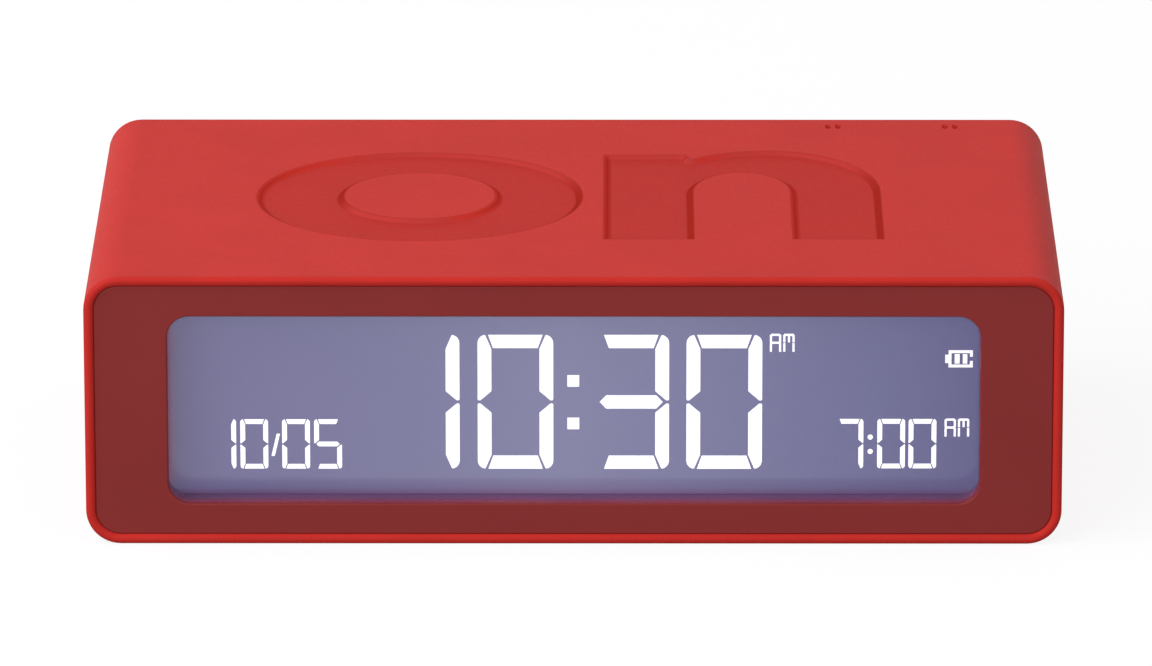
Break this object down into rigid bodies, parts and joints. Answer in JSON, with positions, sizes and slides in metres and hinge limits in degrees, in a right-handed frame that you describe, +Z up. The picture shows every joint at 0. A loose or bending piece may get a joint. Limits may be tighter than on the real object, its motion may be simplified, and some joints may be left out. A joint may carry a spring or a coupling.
{
  "type": "flip-over alarm clock",
  "caption": "Rounded block alarm clock with a wide digital display; turning it over onto either broad face switches the alarm on or off.",
  "frame": {"origin": "centre of the face that the clock rests on", "axes": "+X along the width to the viewer's right, +Y from the display to the rear, +Z up through the short side"},
  "size_m": [0.105, 0.062, 0.03],
  "materials": {
    "skin_red": "satin soft-touch",
    "case_plastic": "matte",
    "panel_dark_red": "satin",
    "clear_lens": "clear",
    "display_glass": "clear",
    "foam_black": "foam",
    "guide_acrylic": "frosted",
    "sheet_white": "matte",
    "lamp_resin": "gloss",
    "contact_rubber": "matte",
    "tray_plastic": "matte",
    "board_green": "gloss",
    "chip_resin": "gloss",
    "steel": "plated",
    "capacitor_ceramic": "matte",
    "foil_copper": "satin",
    "socket_plastic": "matte",
    "ribbon_grey": "satin",
    "rear_dark_red": "satin",
    "key_red": "satin",
    "nickel": "plated",
    "cell_jacket": "gloss",
    "switch_plastic": "matte",
    "buzzer_plastic": "gloss",
    "buzzer_brass": "satin"
  },
  "bodies": {
    "clock_body": {"outer_skin": "skin_red", "inner_case": "case_plastic", "front_panel": "panel_dark_red", "window_lens": "clear_lens", "display_gasket": "foam_black", "display_front_glass": "display_glass", "display_rear_glass": "display_glass", "light_guide": "guide_acrylic", "reflector_sheet": "sheet_white", "backlight_lamps": "lamp_resin", "contact_strip": "contact_rubber", "display_tray": "tray_plastic", "tray_screws": "steel", "main_board": "board_green", "board_screws": "steel", "controller_chip": "chip_resin", "clock_crystal": "steel", "board_capacitors": "capacitor_ceramic", "tilt_switch_cage": "switch_plastic", "touch_electrode_upper": "foil_copper", "touch_electrode_lower": "foil_copper", "touch_spring_upper": "nickel", "touch_spring_lower": "nickel", "ribbon_socket_front": "socket_plastic", "ribbon_socket_rear": "socket_plastic", "ribbon_cable": "ribbon_grey", "rear_housing": "rear_dark_red", "rear_screws": "steel", "link_contact": "nickel", "positive_contact": "nickel", "negative_contact": "nickel", "battery_cell_upper": "cell_jacket", "battery_cell_lower": "cell_jacket", "contact_spring_upper": "nickel", "contact_spring_lower": "nickel", "switch_housings": "switch_plastic", "key_board": "board_green", "key_board_screws": "steel", "buzzer_cup": "buzzer_plastic", "buzzer_disc": "buzzer_brass", "buzzer_foam_ring": "foam_black"},
    "battery_door": {"battery_door": "rear_dark_red"},
    "tilt_ball": {"tilt_ball": "steel"},
    "mode_key": {"mode_key": "key_red", "mode_switch_plunger": "switch_plastic"},
    "set_key": {"set_key": "key_red", "set_switch_plunger": "switch_plastic"},
    "minus_key": {"minus_key": "key_red", "minus_switch_plunger": "switch_plastic"},
    "plus_key": {"plus_key": "key_red", "plus_switch_plunger": "switch_plastic"}
  },
  "joints": [
    {"name": "battery_door_hinge", "type": "hinge", "parent": "clock_body", "child": "battery_door", "pos_m": [-0.0423, 0.0298, 0.015], "axis": [0, 0, 1], "range_deg": [0, 60]},
    {"name": "tilt_ball_roll", "type": "slide", "parent": "clock_body", "child": "tilt_ball", "axis": [0, 0, 1], "range_m": [0, 0.0034]},
    {"name": "mode_key_press", "type": "slide", "parent": "clock_body", "child": "mode_key", "axis": [0, -1, 0], "range_m": [0, 0.0005], "stiffness_N_per_m": 300},
    {"name": "set_key_press", "type": "slide", "parent": "clock_body", "child": "set_key", "axis": [0, -1, 0], "range_m": [0, 0.0005], "stiffness_N_per_m": 300},
    {"name": "minus_key_press", "type": "slide", "parent": "clock_body", "child": "minus_key", "axis": [0, -1, 0], "range_m": [0, 0.0005], "stiffness_N_per_m": 300},
    {"name": "plus_key_press", "type": "slide", "parent": "clock_body", "child": "plus_key", "axis": [0, -1, 0], "range_m": [0, 0.0005], "stiffness_N_per_m": 300}
  ]
}
